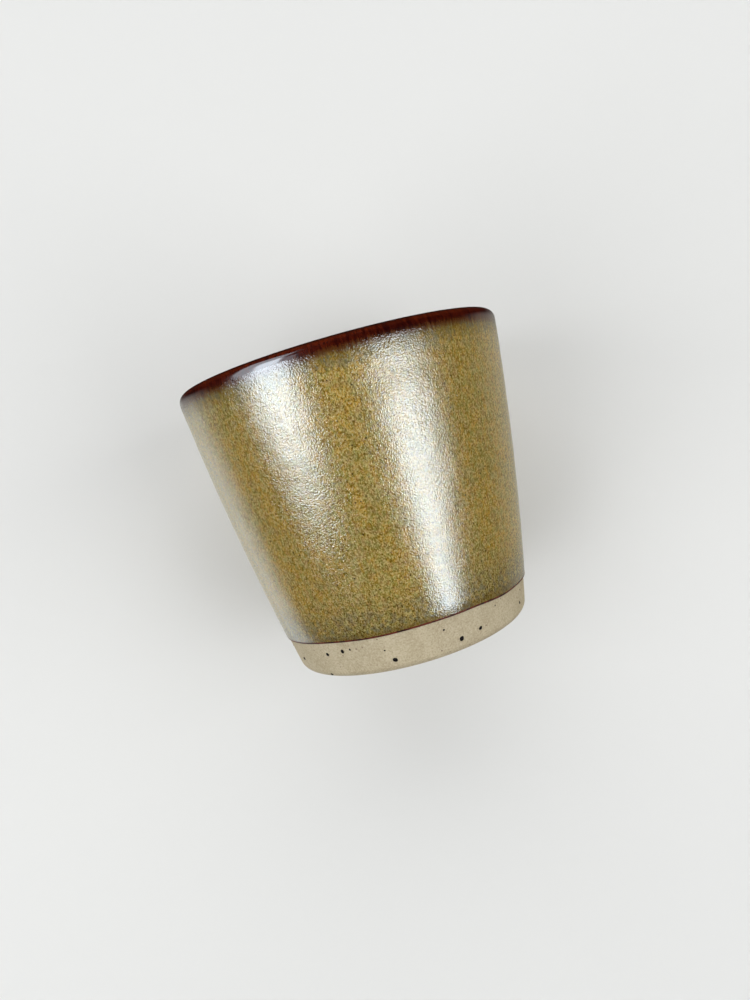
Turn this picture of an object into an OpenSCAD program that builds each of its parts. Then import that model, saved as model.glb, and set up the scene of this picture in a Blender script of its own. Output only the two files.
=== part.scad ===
// Handleless tea cup in stoneware. A thrown clay body carries fused coats of glaze, inside and
// out, and stays bare above the foot, where grains of iron show in the clay.
// Millimetres. The cup stands on z = 0 with its axis on Z. Azimuth 0 is its -Y side.

/* [Clay body] */
// Height from the table to the top of the glazed lip
cup_h = 80; // [60:1:110]
// Widest diameter, across the glazed lip
mouth_d = 88; // [70:1:110]
// Diameter at the table, where the line of the wall would come down
foot_d = 64; // [50:1:80]
// How far the wall swells past a straight line from foot to lip
wall_swell = 1; // [0:0.1:3]
// Thickness of the clay wall
wall_t = 4; // [2.5:0.1:6]
// Thickness of the clay floor
floor_t = 5; // [3:0.5:10]
// Radius of the inside curve between wall and floor
well_r = 10; // [3:0.5:15]
// Radius of the rounded edge under the wall
foot_edge_r = 2.5; // [1:0.1:4]
// Width of the flat ring that the cup stands on
foot_ring_w = 6; // [3:0.5:10]
// Depth of the hollow turned into the underside
hollow_h = 1.2; // [0.5:0.1:2.5]

/* [Glaze] */
// Thickness of the fired glaze
glaze_t = 0.4; // [0.2:0.05:0.7]
// Height of the bare clay above the table
bare_h = 10.2; // [6:0.1:20]
// Height of the dark edge where the outer glaze ends
glaze_edge_h = 0.8; // [0.8:0.1:2]
// How far the brown of the lip reaches down the outside, below the rounded edge
rim_out_h = 1.9; // [0.5:0.1:8]
// How far the brown of the lip reaches down the inside, below the rounded edge
rim_in_h = 3.6; // [0.5:0.1:8]

/* [Iron grains] */
// Radius of the largest grain
grain_r = 1; // [0.5:0.05:1.2]
// Share of a grain's radius that stands proud of the clay
grain_proud = 0.2; // [0.1:0.05:0.5]
// Number of grains on the sides away from azimuth 0
far_grains = 18; // [0:1:30]

/* [Hidden] */
$fn = 96;

// Steps of the wall's curve from the table to the lip, and of each rounded corner
wall_steps = 12;
corner_steps = 10;
// Least distance along the wall between two steps
least_step = 0.3;

// Grains round azimuth 0: azimuth, height as a share of the bare band, radius as a share of grain_r
NEAR_GRAINS = [
    [-46, 0.11, 0.65], [-42, 0.69, 0.70], [-33, 0.75, 0.80], [-29, 0.78, 0.40],
    [-14, 0.61, 0.35], [-11, 0.32, 1.00], [12, 0.71, 0.45], [19, 0.34, 1.00],
    [29, 0.40, 0.80], [39, 0.76, 0.35], [61, 0.39, 0.65], [63, 0.69, 0.40],
];
// Range of azimuth, of height and of size over which the far grains spread, and the steps that
// scatter their heights and sizes
FAR_AZIMUTH = [76, 302];
FAR_HEIGHT = [0.15, 0.80];
FAR_SIZE = [0.35, 1.00];
SCATTER = [0.618, 0.755];

// Distances of the four surfaces from the middle of the wall
clay_out = wall_t / 2;
clay_in = -wall_t / 2;
coat_out = clay_out + glaze_t;
coat_in = clay_in - glaze_t;

// The middle line of the wall, from the table to the centre of the rounded lip
mid_foot_r = foot_d / 2 - clay_out;
mid_top_r = mouth_d / 2 - coat_out;
mid_top_z = cup_h - coat_out;
lip_c = [mid_top_r, mid_top_z];

function mid_r(z) =
    let (s = z / mid_top_z)
    mid_foot_r + (mid_top_r - mid_foot_r) * s + 4 * wall_swell * s * (1 - s);

// Angle by which the wall leans out at height z of the middle line
function lean(z) =
    let (s = z / mid_top_z)
    atan((mid_top_r - mid_foot_r + 4 * wall_swell * (1 - 2 * s)) / mid_top_z);

// Point square to the middle line at z, a distance out from it
function wall_pt(z, out) = [mid_r(z) + out * cos(lean(z)), z - out * sin(lean(z))];

// Height on the middle line whose point a distance out lies h above the table
function level_of(h, out, z = 0, passes = 8) =
    passes == 0 ? z : level_of(h, out, h + out * sin(lean(z)), passes - 1);

// Heights from z0 up to z1, by way of the steps between them
function stations(z0, z1) = concat(
    [z0],
    [for (k = [1:wall_steps - 1])
        let (z = k * mid_top_z / wall_steps)
        if (z > z0 + least_step && z < z1 - least_step) z],
    [z1]
);

// Points up one surface of the wall, through each of the given levels
function rise(levels, out) = [
    for (i = [1:len(levels) - 1], z = stations(levels[i - 1], levels[i]))
        if (i == 1 || z != levels[i - 1]) wall_pt(z, out)
];

function arc(c, r, a0, a1) = [
    for (i = [0:corner_steps])
        let (a = a0 + (a1 - a0) * i / corner_steps)
        c + r * [cos(a), sin(a)]
];

function between(range, share) = range[0] + (range[1] - range[0]) * share;
function reversed(points) = [for (i = [len(points) - 1:-1:0]) points[i]];
function but_first(points) = [for (i = [1:len(points) - 1]) points[i]];

// The rounded edge between the wall and the table
edge_z = level_of(foot_edge_r, clay_out - foot_edge_r);
edge_c = wall_pt(edge_z, clay_out - foot_edge_r);

// The inside curve between the wall and the floor
floor_z = hollow_h + floor_t;
well_z = level_of(floor_z + well_r, clay_in - well_r);
well_c = wall_pt(well_z, clay_in - well_r);

// Levels at which one coat of glaze gives way to the next
line_z = level_of(bare_h, clay_out);
line_top_z = level_of(bare_h + glaze_edge_h, clay_out);
rim_out_z = mid_top_z - rim_out_h;
rim_in_z = mid_top_z - rim_in_h;

// The clay's outside from foot edge to lip, and its inside from well to lip
OUT_LEVELS = [edge_z, line_z, line_top_z, rim_out_z, mid_top_z];
IN_LEVELS = [well_z, rim_in_z, mid_top_z];

function lip(r) = arc(lip_c, r, -lean(mid_top_z), 180 - lean(mid_top_z));
function well(r) = arc(well_c, r, -90, -lean(well_z));

// The turned hollow of the underside, from its roof out to the standing ring
function hollow() =
    let (ring_in_r = edge_c.x - foot_ring_w)
    concat([[0, hollow_h]], arc([ring_in_r - hollow_h, 0], hollow_h, 90, 0));

// A point of the bare band at height h, and the angle of the clay's face there
function band_angle(h) =
    h < edge_c.y - foot_edge_r * sin(lean(edge_z))
        ? asin((h - edge_c.y) / foot_edge_r)
        : -lean(level_of(h, clay_out));
function band_pt(h) =
    h < edge_c.y - foot_edge_r * sin(lean(edge_z))
        ? edge_c + foot_edge_r * [cos(band_angle(h)), sin(band_angle(h))]
        : wall_pt(level_of(h, clay_out), clay_out);

// One grain, its pole square to the clay's face, sunk so that only a low cap stands proud
module grain(azimuth, height, size) {
    r = size * grain_r;
    a = band_angle(height * bare_h);
    c = band_pt(height * bare_h) - (1 - grain_proud) * r * [cos(a), sin(a)];
    rotate([0, 0, azimuth - 90])
        translate([c.x, 0, c.y])
            rotate([0, 90 - a, 0])
                sphere(r);
}

module grains() {
    for (g = NEAR_GRAINS)
        grain(g[0], g[1], g[2]);
    for (i = [0:1:far_grains - 1])
        let (
            azimuth = between(FAR_AZIMUTH, (i + 0.5) / far_grains),
            height = between(FAR_HEIGHT, i * SCATTER[0] % 1),
            size = between(FAR_SIZE, pow(i * SCATTER[1] % 1, 2))
        )
        grain(azimuth, height, size);
}

// The thrown cup: turned foot, swelling wall, rounded lip and well, with a pit round each grain
module stoneware_body() {
    outline = concat(
        hollow(),
        arc(edge_c, foot_edge_r, -90, -lean(edge_z)),
        but_first(rise(OUT_LEVELS, clay_out)),
        but_first(lip(wall_t / 2)),
        but_first(reversed(rise(IN_LEVELS, clay_in))),
        but_first(reversed(well(well_r))),
        [[0, floor_z]]
    );
    color("#BCAC8C")
        difference() {
            rotate_extrude() polygon(outline);
            grains();
        }
}

// The speckled coat round the outside, between the dark edge and the brown lip
module outer_glaze() {
    levels = [line_top_z, rim_out_z];
    color("#8A7433")
        rotate_extrude()
            polygon(concat(rise(levels, clay_out), reversed(rise(levels, coat_out))));
}

// The coat that lines the inside and pools round the well
module inner_glaze() {
    levels = [well_z, rim_in_z];
    color("#8C7A48")
        rotate_extrude()
            polygon(concat(
                [[0, floor_z]],
                well(well_r),
                but_first(rise(levels, clay_in)),
                reversed(rise(levels, coat_in)),
                but_first(reversed(well(well_r - glaze_t))),
                [[0, floor_z + glaze_t]]
            ));
}

// The ring over the lip, where the glaze runs thin and fires brown
module rim_glaze() {
    out_levels = [rim_out_z, mid_top_z];
    in_levels = [rim_in_z, mid_top_z];
    color("#4B1E0E")
        rotate_extrude()
            polygon(concat(
                rise(out_levels, clay_out),
                but_first(lip(wall_t / 2)),
                but_first(reversed(rise(in_levels, clay_in))),
                rise(in_levels, coat_in),
                but_first(reversed(lip(wall_t / 2 + glaze_t))),
                but_first(reversed(rise(out_levels, coat_out)))
            ));
}

// The dark rounded edge in which the outer glaze ends above the bare clay
module glaze_edge() {
    round_z = level_of(bare_h + glaze_t, clay_out);
    round_c = wall_pt(round_z, clay_out);
    color("#2C130B")
        rotate_extrude()
            polygon(concat(
                reversed(rise([line_z, line_top_z], clay_out)),
                but_first(arc(round_c, glaze_t, -90 - lean(round_z), -lean(round_z))),
                [wall_pt(line_top_z, coat_out)]
            ));
}

// Grains of iron that fired dark in the bare clay
module iron_grains() {
    color("#1F1712")
        grains();
}

stoneware_body();
outer_glaze();
inner_glaze();
rim_glaze();
glaze_edge();
iron_grains();
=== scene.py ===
import math

import bmesh
import bpy
from mathutils import Matrix, Vector, noise


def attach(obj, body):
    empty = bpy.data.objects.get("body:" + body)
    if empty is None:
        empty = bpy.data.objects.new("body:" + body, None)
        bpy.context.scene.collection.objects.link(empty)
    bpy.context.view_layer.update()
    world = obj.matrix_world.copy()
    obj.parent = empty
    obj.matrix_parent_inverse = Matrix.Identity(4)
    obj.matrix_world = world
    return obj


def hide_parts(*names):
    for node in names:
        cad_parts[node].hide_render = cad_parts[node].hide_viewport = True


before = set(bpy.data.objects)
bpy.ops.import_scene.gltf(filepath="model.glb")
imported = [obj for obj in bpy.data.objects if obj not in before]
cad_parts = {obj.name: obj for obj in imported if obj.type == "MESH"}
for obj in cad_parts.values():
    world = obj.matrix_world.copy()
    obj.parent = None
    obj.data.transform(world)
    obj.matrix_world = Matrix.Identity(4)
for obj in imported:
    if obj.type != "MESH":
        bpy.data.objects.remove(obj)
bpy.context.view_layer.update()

# Clay body
# The cup itself: buff stoneware, thrown on the wheel with an even wall that swells a little from
# foot to lip. The foot edge is sponged round, and the underside is turned to a shallow hollow.
CUP_H = 0.0800
MOUTH_R = 0.0440
FOOT_R = 0.0320
WALL_SWELL = 0.0010
HALF_WALL = 0.0020
GLAZE_T = 0.0004
FLOOR_Z = 0.0062
HOLLOW_H = 0.0012
RING_W = 0.0060
FOOT_ROUND = 0.0025
WELL_ROUND = 0.0100
HOLLOW_ROUND = 0.0009
RING_EDGE_ROUND = 0.00015
LIP_Z = CUP_H - HALF_WALL - GLAZE_T
LIP_R = MOUTH_R - HALF_WALL - GLAZE_T
MID_FOOT_R = FOOT_R - HALF_WALL
LEAN = math.atan2(LIP_R - MID_FOOT_R, LIP_Z)
TURN_STEPS = 192
# A lip is rounded from both sides by bevels that stop just short of its middle
SHORT_OF_MIDDLE = 0.99
# How far the wall is out of true: an oval, three lobes, and the rings that fingers leave
OVAL = 0.00010
LOBES = 0.00005
FINGER_RINGS = 0.00003


def on_wall(level, out):
    """A point of the straight wall: level up its middle line, and a distance out from it."""
    r = MID_FOOT_R + (LIP_R - MID_FOOT_R) * level / LIP_Z
    return Vector((r + out * math.cos(LEAN), 0, level - out * math.sin(LEAN)))


def at_height(z, out):
    return on_wall(z + out * math.sin(LEAN), out)


def thrown(bm):
    """Swells the straight wall, and leaves it as little out of round as the wheel does."""
    for v in bm.verts:
        share = min(max(v.co.z / LIP_Z, 0), 1)
        wall_r = MID_FOOT_R + (LIP_R - MID_FOOT_R) * share
        turn = math.atan2(v.co.x, -v.co.y)
        off = 4 * WALL_SWELL * share * (1 - share)
        off += OVAL * share * math.sin(2 * turn + 0.7)
        off += LOBES * share * math.sin(3 * turn + 2.1)
        off += FINGER_RINGS * math.sin(v.co.z * 620 + 0.8 * math.sin(turn)) * share
        v.co.x *= 1 + off / wall_r
        v.co.y *= 1 + off / wall_r


def turned(corners, rounds, longest=0.0025):
    """Turns a section about the cup's axis. rounds gives a corner's bevel: offset and segments."""
    bm = bmesh.new()
    verts = [bm.verts.new(c) for c in corners]
    bm.faces.new(verts)
    for index, (offset, segments) in rounds.items():
        bmesh.ops.bevel(bm, geom=[verts[index]], offset=offset, offset_type="OFFSET",
                        affect="VERTICES", segments=segments, profile=0.5, material=-1)
    for edge in [e for e in bm.edges if e.calc_length() > longest]:
        cuts = int(edge.calc_length() / longest)
        bmesh.ops.subdivide_edges(bm, edges=[edge], cuts=cuts)
    bmesh.ops.delete(bm, geom=bm.faces[:], context="FACES_ONLY")
    axis = [e for e in bm.edges if max(abs(v.co.x) for v in e.verts) < 1e-7]
    bmesh.ops.delete(bm, geom=axis, context="EDGES")
    bmesh.ops.spin(bm, geom=bm.verts[:] + bm.edges[:], cent=(0, 0, 0), axis=(0, 0, 1),
                   angle=math.tau, steps=TURN_STEPS, use_merge=True)
    bmesh.ops.remove_doubles(bm, verts=bm.verts[:], dist=1e-6)
    thrown(bm)
    return bm


def seat(bm, name, finish, node):
    """Makes a finished mesh a piece of the cup, in the place of its CAD node."""
    bmesh.ops.recalc_face_normals(bm, faces=bm.faces[:])
    for face in bm.faces:
        face.smooth = True
    for edge in bm.edges:
        edge.smooth = edge.calc_face_angle(0) < math.radians(38)
    mesh = bpy.data.meshes.new(name)
    bm.to_mesh(mesh)
    bm.free()
    mesh.materials.append(finish)
    piece = bpy.data.objects.new(name, mesh)
    bpy.context.scene.collection.objects.link(piece)
    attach(piece, "root")
    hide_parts(node)


class Flow:
    """A socket's value on its way through a finish, with sums written as sums."""

    def __init__(self, tree, socket=None):
        self.tree = tree
        self.socket = socket

    def node(self, kind, settings=None, inputs=None, output=0):
        """Adds a node, sets it, feeds its sockets, and gives one of its outputs."""
        made = self.tree.nodes.new(kind)
        for key, value in (settings or {}).items():
            setattr(made, key, value)
        for key, value in (inputs or {}).items():
            if isinstance(value, Flow):
                self.tree.links.new(value.socket, made.inputs[key])
            else:
                made.inputs[key].default_value = value
        return Flow(self.tree, made.outputs[output])

    def other(self, output):
        """Another output of the node that this value comes from."""
        return Flow(self.tree, self.socket.node.outputs[output])

    def math(self, operation, *values):
        return self.node("ShaderNodeMath", {"operation": operation}, dict(enumerate(values)))

    def __add__(self, other):
        return self.math("ADD", self, other)

    def __radd__(self, other):
        return self.math("ADD", other, self)

    def __sub__(self, other):
        return self.math("SUBTRACT", self, other)

    def __rsub__(self, other):
        return self.math("SUBTRACT", other, self)

    def __mul__(self, other):
        return self.math("MULTIPLY", self, other)

    def __rmul__(self, other):
        return self.math("MULTIPLY", other, self)

    def step(self, low, high):
        """0 below low, 1 above high, and a smooth rise between; low may be above high."""
        settings = {"interpolation_type": "SMOOTHSTEP"}
        if low < high:
            return self.node("ShaderNodeMapRange", settings, {0: self, 1: low, 2: high})
        return 1 - self.node("ShaderNodeMapRange", settings, {0: self, 1: high, 2: low})

    def noise(self, vector, size, detail=2.0, rough=0.5):
        inputs = {"Vector": vector, "Scale": 1 / size, "Detail": detail, "Roughness": rough}
        return self.node("ShaderNodeTexNoise", {}, inputs)

    def mix(self, under, over):
        """Lays one colour over another by this much."""
        colours = [c if isinstance(c, Flow) else (*c, 1) for c in (under, over)]
        inputs = {0: self, 6: colours[0], 7: colours[1]}
        return self.node("ShaderNodeMix", {"data_type": "RGBA"}, inputs, 2)

    def into(self, target, name):
        """Feeds this value to a socket of a node that is already there."""
        self.tree.links.new(self.socket, target.inputs[name])


def new_finish(name):
    """An empty finish: the material, its Principled shader and a Flow to start from."""
    finish = bpy.data.materials.new(name)
    finish.use_nodes = True
    return finish, finish.node_tree.nodes["Principled BSDF"], Flow(finish.node_tree)


CLAY = (0.455, 0.377, 0.232)
CLAY_DARK = (0.300, 0.230, 0.128)
CLAY_PALE = (0.580, 0.505, 0.345)
CLAY_RUST = (0.150, 0.088, 0.042)
# How far the clay keeps to one even colour under its clouds
CLAY_EVENNESS = 0.74

clay, shader, start = new_finish("bare_stoneware")
place = start.node("ShaderNodeTexCoord", output="Object")
# Faint clouds, fine sand, the marks of turning and a few rusty dots
tone = start.noise(place, 0.0075, 3.0, 0.55)
grain = start.noise(place, 0.00045, 3.0, 0.65)
wheel = start.node("ShaderNodeMapping", {}, {"Vector": place, "Scale": (60, 60, 2600)})
wheel = start.noise(wheel, 1.0, 2.0, 0.5)
colour = tone.step(0.35, 0.68).mix(CLAY_DARK, CLAY_PALE)
even = {0: CLAY_EVENNESS, 6: colour, 7: (*CLAY, 1)}
colour = start.node("ShaderNodeMix", {"data_type": "RGBA"}, even, 2)
colour = (grain.step(0.50, 0.68) * 0.60).mix(colour, CLAY_PALE)
colour = (grain.step(0.49, 0.30) * 0.76).mix(colour, CLAY_DARK)
colour = (wheel.step(0.55, 0.75) * 0.16).mix(colour, CLAY_DARK)
dots = start.node("ShaderNodeTexVoronoi", {}, {"Vector": place, "Scale": 1 / 0.0018}, "Distance")
chance = start.node("ShaderNodeSeparateColor", {}, {0: dots.other("Color")})
dot = dots.step(0.16, 0.08) * chance.step(0.45, 0.85)
colour = (dot * 0.85).mix(colour, CLAY_RUST)
colour.into(shader, "Base Color")
shader.inputs["Roughness"].default_value = 0.78
shader.inputs["IOR"].default_value = 1.45
relief = grain * 0.7 + wheel * 0.5
bump = start.node("ShaderNodeBump", {}, {"Strength": 0.6, "Distance": 0.00006, "Height": relief})
bump.into(shader, "Normal")

ring_in = FOOT_R - FOOT_ROUND - RING_W
top_level = LIP_Z + HALF_WALL * math.cos(LEAN)
inner_low = at_height(FLOOR_Z, -HALF_WALL)
clay_section = [
    Vector((0, 0, HOLLOW_H)), Vector((ring_in, 0, HOLLOW_H)), Vector((ring_in, 0, 0)),
    at_height(0, HALF_WALL), on_wall(top_level, HALF_WALL), on_wall(top_level, -HALF_WALL),
    inner_low, Vector((0, 0, FLOOR_Z)),
]
foot_tangent = FOOT_ROUND / math.tan((math.pi / 2 + LEAN) / 2)
well_tangent = WELL_ROUND / math.tan((math.pi / 2 + LEAN) / 2)
clay_rounds = {
    1: (HOLLOW_ROUND, 5), 2: (RING_EDGE_ROUND, 2), 3: (foot_tangent, 10),
    4: (HALF_WALL * SHORT_OF_MIDDLE, 8), 5: (HALF_WALL * SHORT_OF_MIDDLE, 8), 6: (well_tangent, 14),
}
seat(turned(clay_section, clay_rounds), "clay", clay, "stoneware_body")

# Iron grains
# Specks of iron ore in the clay. In the kiln they melt to dark, low blisters, a little uneven
# in outline, each bedded in the bare band above the foot.
BARE_H = 0.0102
GRAIN_R = 0.0010
# Azimuth, height as a share of the bare band, and size as a share of GRAIN_R
NEAR_GRAINS = [
    (-46, 0.11, 0.75), (-42, 0.69, 0.82), (-33, 0.75, 0.86), (-29, 0.78, 0.45),
    (-14, 0.61, 0.40), (-11, 0.32, 1.00), (12, 0.71, 0.45), (19, 0.34, 1.00),
    (29, 0.40, 0.80), (39, 0.76, 0.35), (61, 0.39, 0.65), (63, 0.69, 0.40),
]
FAR_GRAINS = 18
# The same three of the far grains: where each starts, and how far it spreads from there
FAR_FROM = (76, 0.15, 0.35)
FAR_SPREAD = (226, 0.65, 0.65)
# Share of a grain that shows, how flat and how uneven it is, and how far it is drawn out
GRAIN_SHOWN = 0.62
GRAIN_FLATNESS = 0.34
GRAIN_UNEVENNESS = 0.20
GRAIN_STRETCH = 0.10
IRON_BLACK = (0.004, 0.0025, 0.002)
IRON_BROWN = (0.020, 0.009, 0.004)

iron, shader, start = new_finish("iron_spot")
place = start.node("ShaderNodeTexCoord", output="Object")
crust = start.noise(place, 0.00035, 2.0, 0.6)
colour = crust.step(0.50, 0.75).mix(IRON_BLACK, IRON_BROWN)
colour.into(shader, "Base Color")
rough = crust * 0.3 + 0.40
rough.into(shader, "Roughness")
shader.inputs["Specular IOR Level"].default_value = 0.05
bump = start.node("ShaderNodeBump", {}, {"Strength": 0.8, "Distance": 0.00008, "Height": crust})
bump.into(shader, "Normal")

# The far grains lie evenly round the rest of the band, at scattered heights, and most are small
grains = list(NEAR_GRAINS)
for i in range(FAR_GRAINS):
    shares = ((i + 0.5) / FAR_GRAINS, i * 0.618 % 1, (i * 0.755 % 1) ** 2)
    grains.append([low + span * s for low, span, s in zip(FAR_FROM, FAR_SPREAD, shares)])
foot_c = at_height(FOOT_ROUND, HALF_WALL - FOOT_ROUND)
bm = bmesh.new()
for index, (azimuth, height, size) in enumerate(grains):
    r = GRAIN_R * size * GRAIN_SHOWN
    z = height * BARE_H
    if z < FOOT_ROUND * (1 - math.sin(LEAN)):
        face_angle = math.asin((z - FOOT_ROUND) / FOOT_ROUND)
        spot = foot_c + FOOT_ROUND * Vector((math.cos(face_angle), 0, math.sin(face_angle)))
    else:
        face_angle = -LEAN
        spot = at_height(z, HALF_WALL)
        share = z / LIP_Z
        spot.x += 4 * WALL_SWELL * share * (1 - share)
    made = bmesh.ops.create_icosphere(bm, subdivisions=2, radius=r)["verts"]
    for v in made:
        bulge = noise.noise(v.co * (1.1 / r) + Vector((index * 7.3, 0, 0)))
        v.co *= 1 + GRAIN_UNEVENNESS * bulge
    stretch = 1 + GRAIN_STRETCH * (index * 0.37 % 1)
    bmesh.ops.scale(bm, vec=(GRAIN_FLATNESS, stretch, 1 / stretch), verts=made)
    bmesh.ops.rotate(bm, cent=(0, 0, 0), verts=made, matrix=Matrix.Rotation(index * 2.4, 3, "X"))
    bmesh.ops.rotate(bm, cent=(0, 0, 0), verts=made, matrix=Matrix.Rotation(-face_angle, 3, "Y"))
    bmesh.ops.translate(bm, vec=spot, verts=made)
    around = Matrix.Rotation(math.radians(azimuth - 90), 3, "Z")
    bmesh.ops.rotate(bm, cent=(0, 0, 0), verts=made, matrix=around)
seat(bm, "grains_of_iron", iron, "iron_grains")

# Outer glaze
# A fluid ash and iron glaze, dipped and fired to a glossy amber and olive skin. It breaks into fine
# specks and runs of blue-green, pools darker above the foot and has a faint orange-peel surface.
COAT_OUT = HALF_WALL + GLAZE_T
EDGE_H = 0.00055
RIM_OUT_H = 0.0019
RIM_OUT_LEVEL = LIP_Z - RIM_OUT_H
# Longest step up the coat that its mesh takes
COAT_STEP = 0.0018
AMBER = (0.424, 0.248, 0.034)
OLIVE = (0.243, 0.193, 0.040)
UMBER = (0.106, 0.060, 0.003)
STRAW = (0.525, 0.418, 0.160)
SAGE = (0.262, 0.230, 0.092)
MOSS = (0.245, 0.238, 0.058)
RUSSET = (0.330, 0.185, 0.066)
SLATE = (0.085, 0.105, 0.078)
TEAL = (0.135, 0.165, 0.122)
INK = (0.026, 0.012, 0.006)
CHESTNUT = (0.078, 0.026, 0.004)
BRICK = (0.068, 0.0065, 0.0010)
OXBLOOD = (0.018, 0.0006, 0.0004)
# Partly a painted highlight: the warm reflection on the curve of the lip, over the glaze's own
# brown
CARAMEL_AND_SHEEN = (0.088, 0.010, 0.001)
TREACLE = (0.016, 0.0030, 0.0012)
# The lower border: how far it lies low all round, arches at azimuth -33, falls past azimuth 26
# and ripples, and how far up the coat this reaches
BORDER_DROP = 0.00035
BORDER_ARCH = 0.00030
BORDER_FALL = 0.00080
BORDER_RIPPLE = 0.00008
BORDER_REACH = 0.010
# Azimuths of two broad falls, where the glaze ran together
FALLS = (37, -44)


def sagging(bm):
    """Lets the lower border of the glaze wander, as it ran a little lower on one side."""
    for v in bm.verts:
        turn = math.degrees(math.atan2(v.co.x, -v.co.y))
        dip = BORDER_ARCH * math.exp(-((turn + 33) / 17) ** 2) - BORDER_DROP
        fall = min(max((turn - 26) / 22, 0), 1) - min(max((turn - 75) / 60, 0), 1)
        dip -= BORDER_FALL * fall * fall * (3 - 2 * fall)
        dip += BORDER_RIPPLE * math.sin(math.radians(turn) * 7 + 1.1)
        hold = max(0, 1 - max(v.co.z - BARE_H - EDGE_H, 0) / BORDER_REACH)
        v.co.z += dip * hold
        slide = 1 + dip * hold * math.tan(LEAN) / math.hypot(v.co.x, v.co.y)
        v.co.x *= slide
        v.co.y *= slide


def glaze(name, inside):
    """The amber glaze. Inside and outside share its specks; its lip breaks to brown."""
    finish, shader, start = new_finish(name)
    place = start.node("ShaderNodeTexCoord", output="Object")
    x = start.node("ShaderNodeSeparateXYZ", {}, {0: place}, 0)
    y = x.other(1)
    z = x.other(2)
    flat = start.node("ShaderNodeCombineXYZ", {}, {0: x, 1: y, 2: 0.0})
    flat = start.node("ShaderNodeVectorMath", {"operation": "NORMALIZE"}, {0: flat})
    side = start.node("ShaderNodeSeparateXYZ", {}, {0: flat}, 0)
    # Runs and threads are drawn out down the wall, and specks a little
    round_x = side * 40
    round_y = side.other(1) * 40
    run = start.node("ShaderNodeCombineXYZ", {}, {0: round_x, 1: round_y, 2: z * 95})
    thread = start.node("ShaderNodeCombineXYZ", {}, {0: round_x, 1: round_y, 2: z * 330})
    drawn = start.node("ShaderNodeMapping", {}, {"Vector": place, "Scale": (1, 1, 0.7)})
    depth = CUP_H - z

    cloud = start.noise(place, 0.016, 2.0, 0.5)
    patch = start.noise(place, 0.0026, 1.0, 0.5)
    hue = start.noise(place, 0.0014, 1.0, 0.5)
    speck = start.noise(drawn, 0.00034, 2.0, 0.65)
    fleck = start.noise(drawn, 0.00060, 2.0, 0.60)
    tinge = start.noise(drawn, 0.0010, 2.0, 0.6)
    streak = start.noise(run, 0.9, 3.0, 0.6)
    fine = start.noise(thread, 0.45, 2.0, 0.6)

    # The ground goes from olive to amber in small patches, runs and clouds
    lean_to = hue * 0.34 + streak * 0.42 + cloud * 0.24
    colour = lean_to.step(0.40, 0.60).mix(OLIVE, AMBER)
    colour = (patch.step(0.46, 0.66) * 0.55).mix(colour, SAGE)
    colour = (tinge.step(0.51, 0.65) * 0.70).mix(colour, MOSS)
    colour = (tinge.step(0.48, 0.34) * 0.60).mix(colour, RUSSET)
    # Threads and specks, umber and straw, are nearly as fine as the grain of the clay
    near_lip = depth.step(0.016, 0.006)
    colour = (fine.step(0.51, 0.68) * (0.40 + near_lip * 0.30)).mix(colour, UMBER)
    colour = (fine.step(0.47, 0.30) * (0.30 + near_lip * 0.15)).mix(colour, STRAW)
    colour = (fleck.step(0.48, 0.30) * 0.50).mix(colour, UMBER)
    colour = (fleck.step(0.53, 0.70) * 0.40).mix(colour, STRAW)
    colour = (speck.step(0.49, 0.33) * 0.88).mix(colour, UMBER)
    colour = (speck.step(0.52, 0.67) * 0.80).mix(colour, STRAW)
    spacing = {"Vector": place, "Scale": 1 / 0.0016}
    dots = start.node("ShaderNodeTexVoronoi", {}, spacing, "Distance")
    chance = start.node("ShaderNodeSeparateColor", {}, {0: dots.other("Color")})
    dot = dots.step(0.18, 0.10) * chance.step(0.60, 0.74)
    colour = (dot * 0.80).mix(colour, INK)
    # It lies thicker and darker in the two broad falls
    for azimuth in FALLS:
        a = math.radians(azimuth)
        fall = side * math.sin(a) - side.other(1) * math.cos(a)
        colour = (fall.step(0.88, 0.98) * 0.11).mix(colour, UMBER)

    # Low down, above the foot or inside in the well, the glaze lies thicker, with more slate in it
    if not inside:
        low = z.step(BARE_H + 0.013, BARE_H + 0.001)
        colour = (low * (hue.step(0.44, 0.62) * 0.50 + 0.16)).mix(colour, SLATE)
        colour = (low * speck.step(0.52, 0.36) * 0.75).mix(colour, UMBER)
        colour = (low * speck.step(0.42, 0.32) * 0.80).mix(colour, INK)
        colour = (z.step(BARE_H + 0.0022, BARE_H + 0.0006) * 0.48).mix(colour, UMBER)
    else:
        deep = z.step(FLOOR_Z + 0.012, FLOOR_Z + 0.001)
        colour = (deep * (fleck.step(0.40, 0.62) * 0.5 + 0.30)).mix(colour, SLATE)

    # Under the lip it thins: blue-grey wisps, umber, chestnut, then streaky brick and oxblood
    reach = depth + (streak - 0.5) * 0.0022 + (fine - 0.5) * 0.0016
    wisps = patch.step(0.48, 0.64) * 0.26 + fine.step(0.50, 0.64) * 0.38
    colour = (reach.step(0.0100, 0.0052) * wisps).mix(colour, TEAL)
    colour = (reach.step(0.0084, 0.0040) * 0.60).mix(colour, UMBER)
    colour = (reach.step(0.0062, 0.0042) * fine.step(0.50, 0.62) * 0.40).mix(colour, SLATE)
    colour = reach.step(0.0049, 0.0032).mix(colour, CHESTNUT)
    brown = (fine * 0.40 + streak * 0.30 + cloud * 0.30).step(0.37, 0.63).mix(OXBLOOD, BRICK)
    colour = reach.step(0.0035, 0.0023).mix(colour, brown)
    # A caramel line runs along the edge, partly the glaze's own brown and partly a painted
    # highlight on the lip's curve; the very top is as dark as treacle
    caramel_and_sheen = depth.step(0.0016, 0.0010) * (streak.step(0.38, 0.60) * 0.60 + 0.15)
    colour = caramel_and_sheen.mix(colour, CARAMEL_AND_SHEEN)
    colour = depth.step(0.0006, 0.0003).mix(colour, TREACLE)
    colour.into(shader, "Base Color")

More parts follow.
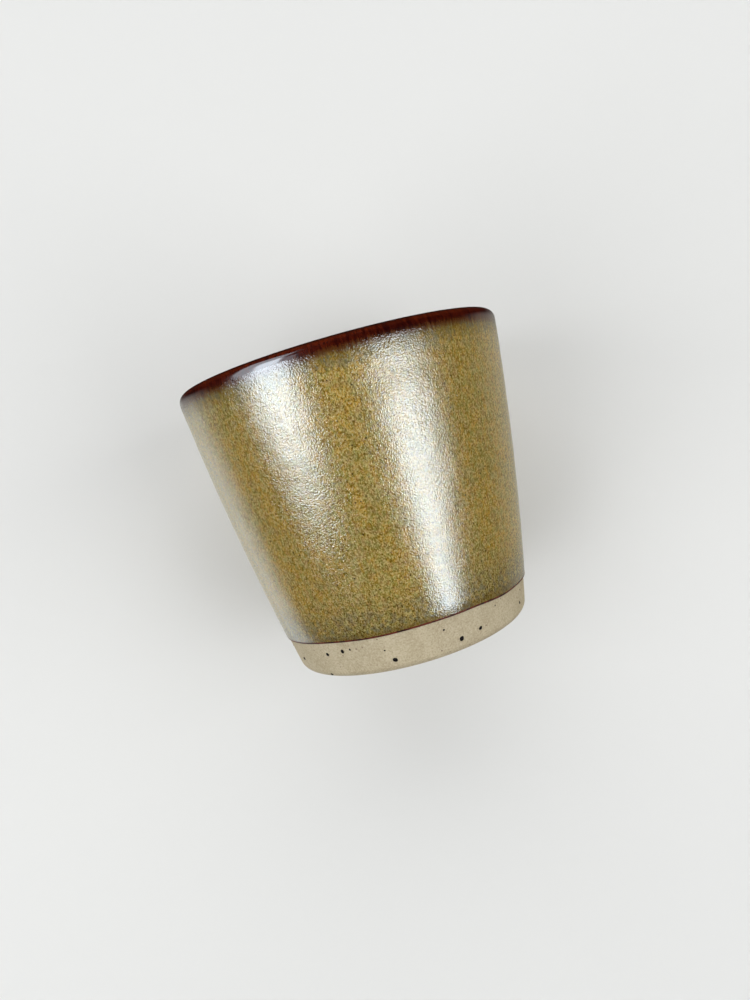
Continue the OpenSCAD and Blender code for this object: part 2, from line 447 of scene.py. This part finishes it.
    shader.inputs["IOR"].default_value = 1.65
    rough = 0.13 + depth.step(0.0024, 0.0044) * (speck.step(0.40, 0.62) * 0.12 - 0.03)
    rough.into(shader, "Roughness")
    peel = start.noise(place, 0.00036, 1.0, 0.45)
    wave = start.noise(place, 0.0058, 1.0, 0.4)
    # The peel dies out on the thin glaze of the lip and is lower near the foot, and the coat rolls
    # in at its lower border
    peel = peel * depth.step(0.0021, 0.0038) * (z.step(0.014, 0.050) * 0.26 + 0.58)
    relief = peel + wave * 1.4
    if not inside:
        relief = relief + z.step(BARE_H - 0.0024, BARE_H + 0.0028) * 4.4
    raised = {"Strength": 1.0, "Distance": 0.00010, "Height": relief}
    bump = start.node("ShaderNodeBump", {}, raised)
    bump.into(shader, "Normal")
    return finish


amber_glaze = glaze("speckled_glaze", False)
outer_section = [
    at_height(BARE_H + EDGE_H, HALF_WALL), at_height(BARE_H + EDGE_H, COAT_OUT),
    on_wall(RIM_OUT_LEVEL, COAT_OUT), on_wall(RIM_OUT_LEVEL, HALF_WALL),
]
bm = turned(outer_section, {}, COAT_STEP)
sagging(bm)
seat(bm, "outer_coat", amber_glaze, "outer_glaze")

# Glaze edge
# Where the dipped glaze stops it draws up into a thin bead, thicker than the coat above it and
# stained red-brown by the iron in the clay. It wanders with the coat that it ends.
BEAD_UNDER = 0.00010
BEAD_PROUD = 0.00006
BEAD_ROUND = 0.00034
BEAD_DARK = (0.022, 0.005, 0.002)
BEAD_RED = (0.120, 0.015, 0.004)

bead, shader, start = new_finish("dark_glaze")
place = start.node("ShaderNodeTexCoord", output="Object")
stain = start.noise(place, 0.0016, 2.0, 0.6)
colour = stain.step(0.35, 0.65).mix(BEAD_DARK, BEAD_RED)
colour.into(shader, "Base Color")
rough = stain * 0.2 + 0.40
rough.into(shader, "Roughness")
shader.inputs["Specular IOR Level"].default_value = 0.12

bead_section = [
    at_height(BARE_H, HALF_WALL), at_height(BARE_H + BEAD_UNDER, COAT_OUT + BEAD_PROUD),
    at_height(BARE_H + EDGE_H, COAT_OUT), at_height(BARE_H + EDGE_H, HALF_WALL),
]
bm = turned(bead_section, {1: (BEAD_ROUND, 6)}, COAT_STEP)
sagging(bm)
seat(bm, "glaze_bead", bead, "glaze_edge")

# Inner glaze
# The same glaze poured inside and tipped out, so it lines the wall and gathers in the well, where
# it lies deepest and turns to slate.
RIM_IN_H = 0.0036
RIM_IN_LEVEL = LIP_Z - RIM_IN_H
COAT_IN = -COAT_OUT

liner_glaze = glaze("liner_glaze", True)
coat_tangent = (WELL_ROUND - GLAZE_T) / math.tan((math.pi / 2 + LEAN) / 2)
liner_section = [
    Vector((0, 0, FLOOR_Z)), inner_low, on_wall(RIM_IN_LEVEL, -HALF_WALL),
    on_wall(RIM_IN_LEVEL, COAT_IN), at_height(FLOOR_Z + GLAZE_T, COAT_IN),
    Vector((0, 0, FLOOR_Z + GLAZE_T)),
]
bm = turned(liner_section, {1: (well_tangent, 14), 4: (coat_tangent, 14)})
seat(bm, "liner", liner_glaze, "inner_glaze")

# Rim glaze
# The glaze over the lip. It drains off the edge while it melts, lies thin there, and lets the iron
# through, so it fires red-brown, and nearly black along the very top.
LIP_STEP = 0.0006

lip_level = LIP_Z + COAT_OUT * math.cos(LEAN)
rim_section = [
    on_wall(RIM_OUT_LEVEL, HALF_WALL), on_wall(RIM_OUT_LEVEL, COAT_OUT),
    on_wall(lip_level, COAT_OUT), on_wall(lip_level, COAT_IN), on_wall(RIM_IN_LEVEL, COAT_IN),
    on_wall(RIM_IN_LEVEL, -HALF_WALL), on_wall(top_level, -HALF_WALL),
    on_wall(top_level, HALF_WALL),
]
rim_rounds = {
    2: (COAT_OUT * SHORT_OF_MIDDLE, 12), 3: (COAT_OUT * SHORT_OF_MIDDLE, 12),
    6: (HALF_WALL * SHORT_OF_MIDDLE, 12), 7: (HALF_WALL * SHORT_OF_MIDDLE, 12),
}
bm = turned(rim_section, rim_rounds, LIP_STEP)
seat(bm, "lip_coat", amber_glaze, "rim_glaze")

# Plaster board
# The pale board that the cup lies against: smooth plaster, flat and matt. It all but touches the
# far side of the wall along one line, is seen from its face only and fades out towards its rim.
PLASTER = (0.745, 0.751, 0.740, 1)
BOARD_HALF = 0.6
BOARD_GAP = 0.0001
TOUCH_LEVEL = 0.036
# Distances from the cup between which the board fades out
FADE_START = 0.28
FADE_END = 0.55

board, shader, start = new_finish("plaster")
place = start.node("ShaderNodeTexCoord", output="Object")
shader.inputs["Base Color"].default_value = PLASTER
shader.inputs["Roughness"].default_value = 0.9
shader.inputs["Specular IOR Level"].default_value = 0.1
behind = start.node("ShaderNodeNewGeometry", output="Backfacing")
far = start.node("ShaderNodeVectorMath", {"operation": "LENGTH"}, {0: place}, "Value")
gone = start.math("MAXIMUM", behind, far.step(FADE_START, FADE_END))
clear = start.node("ShaderNodeBsdfTransparent")
output = start.tree.nodes["Material Output"]
face = Flow(start.tree, shader.outputs[0])
shown = start.node("ShaderNodeMixShader", {}, {0: gone, 1: face, 2: clear})
shown.into(output, "Surface")

bm = bmesh.new()
bmesh.ops.create_grid(bm, x_segments=1, y_segments=1, size=BOARD_HALF)
touch = on_wall(TOUCH_LEVEL, COAT_OUT)
along_wall = Matrix.Rotation(math.pi / 2 - LEAN, 3, "X")
bmesh.ops.rotate(bm, cent=(0, 0, 0), verts=bm.verts[:], matrix=along_wall)
bmesh.ops.translate(bm, vec=(0, touch.x + WALL_SWELL + BOARD_GAP, touch.z), verts=bm.verts[:])
mesh = bpy.data.meshes.new("plaster_board")
bm.to_mesh(mesh)
bm.free()
mesh.materials.append(board)
backing = bpy.data.objects.new("plaster_board", mesh)
bpy.context.scene.collection.objects.link(backing)
# It takes the shadow of the cup and gives no light back
backing.visible_diffuse = False
backing.visible_glossy = False
backing.visible_transmission = False
backing.visible_shadow = False

# Light
# Two tall windows, one at each side of the viewer, give the two bright bands on the glaze. Each is
# a stack of panes that shows in the gloss alone, and so do a wall at the left and a window behind.
# Four soft lamps that do not show in the gloss light the colours.
DAYLIGHT = (0.87, 1.00, 1.11)
CUP_MIDDLE = Vector((0, 0, 0.045))


def window(name, azimuth, elevation, wide, tall, radiance, band):
    """A rectangle one metre away, wide and tall in degrees: a band of gloss, or plain light."""
    lamp = bpy.data.lights.new(name, "AREA")
    lamp.shape = "RECTANGLE"
    lamp.size = 2 * math.tan(math.radians(wide / 2))
    lamp.size_y = 2 * math.tan(math.radians(tall / 2))
    lamp.energy = math.pi * lamp.size * lamp.size_y * radiance
    lamp.color = DAYLIGHT if band else (1, 1, 1)
    light = bpy.data.objects.new(name, lamp)
    a = math.radians(azimuth)
    e = math.radians(elevation)
    toward = Vector((math.sin(a) * math.cos(e), -math.cos(a) * math.cos(e), math.sin(e)))
    light.location = CUP_MIDDLE + toward
    light.rotation_euler = (-toward).to_track_quat("-Z", "Y").to_euler()
    light.visible_camera = False
    light.visible_glossy = band
    light.visible_diffuse = not band
    bpy.context.scene.collection.objects.link(light)


window("left_band_high", -46, 22, 18, 29, 6.5, True)
window("left_haze", -41, 12, 33, 36, 1.8, True)
window("left_band_glow", -56, 29, 36, 54, 3.4, True)
window("left_band", -45, -1, 32, 14, 13.2, True)
window("left_band_low", -46, -11.2, 23, 8, 13.4, True)
window("right_band_high", 39.5, -8, 29, 8, 10.8, True)
window("right_band", 36.8, -20.5, 25, 17, 10.9, True)
window("right_band_low", 38.5, -36, 14, 14, 14.8, True)
window("right_glow", 37.5, -13.5, 44, 19, 3.4, True)
window("left_wall", -126, -16, 25, 38, 0.75, True)
window("back_band", 188, -33, 22, 24, 2.6, True)
window("left_light", -52, -6, 50, 50, 2.52, False)
window("right_light", 50, -14, 50, 50, 2.45, False)
window("mouth_light", 10, 75, 70, 70, 1.5, False)
window("back_light", 180, 20, 70, 70, 1.6, False)

# The room. In the gloss it is dark, and pale beyond the cup, where the board is, most at the left.
# The viewer sees it as one plain pale ground.
PALE_LEFT = (0.76, 0.78, 0.74)
PALE_RIGHT = (0.47, 0.47, 0.43)
ROOM_DARK = (0.012, 0.012, 0.012)
ROOM_LIGHT = (0.24, 0.24, 0.24)
PALE_GROUND = (0.80, 0.805, 0.795)

world = bpy.data.worlds.new("pale_room")
world.use_nodes = True
sky = Flow(world.node_tree)
path = sky.node("ShaderNodeLightPath", output="Is Camera Ray")
toward = sky.node("ShaderNodeTexCoord", output="Generated")
across = sky.node("ShaderNodeSeparateXYZ", {}, {0: toward}, 0)
pale = across.step(-0.5, 0.5).mix(PALE_LEFT, PALE_RIGHT)
beyond = across.other(1).step(0.08, 0.55) * across.other(2).step(0.30, 0.0)
seen = beyond.mix(ROOM_DARK, pale)
colour = path.other("Is Glossy Ray").mix(ROOM_LIGHT, seen)
colour = path.mix(colour, PALE_GROUND)
back = world.node_tree.nodes["Background"]
colour.into(back, "Color")
bpy.context.scene.world = world

# Camera
# Straight above the lying cup, as with a telephone held over a table: close, with the mouth end
# nearer and the axis leaning to the left.
VIEW_TILT = math.radians(84.99)
VIEW_ROLL = math.radians(-15.86)
VIEW_FROM = (-0.0004, -0.2086, 0.0572)

lens = bpy.data.cameras.new("viewer")
lens.sensor_width = 36
lens.lens = 27
lens.clip_start = 0.01
viewer = bpy.data.objects.new("viewer", lens)
bpy.context.scene.collection.objects.link(viewer)
aim = Matrix.Rotation(VIEW_TILT, 4, "X") @ Matrix.Rotation(VIEW_ROLL, 4, "Z")
viewer.matrix_world = Matrix.Translation(VIEW_FROM) @ aim
bpy.context.scene.camera = viewer
bpy.context.scene.view_settings.view_transform = "Standard"
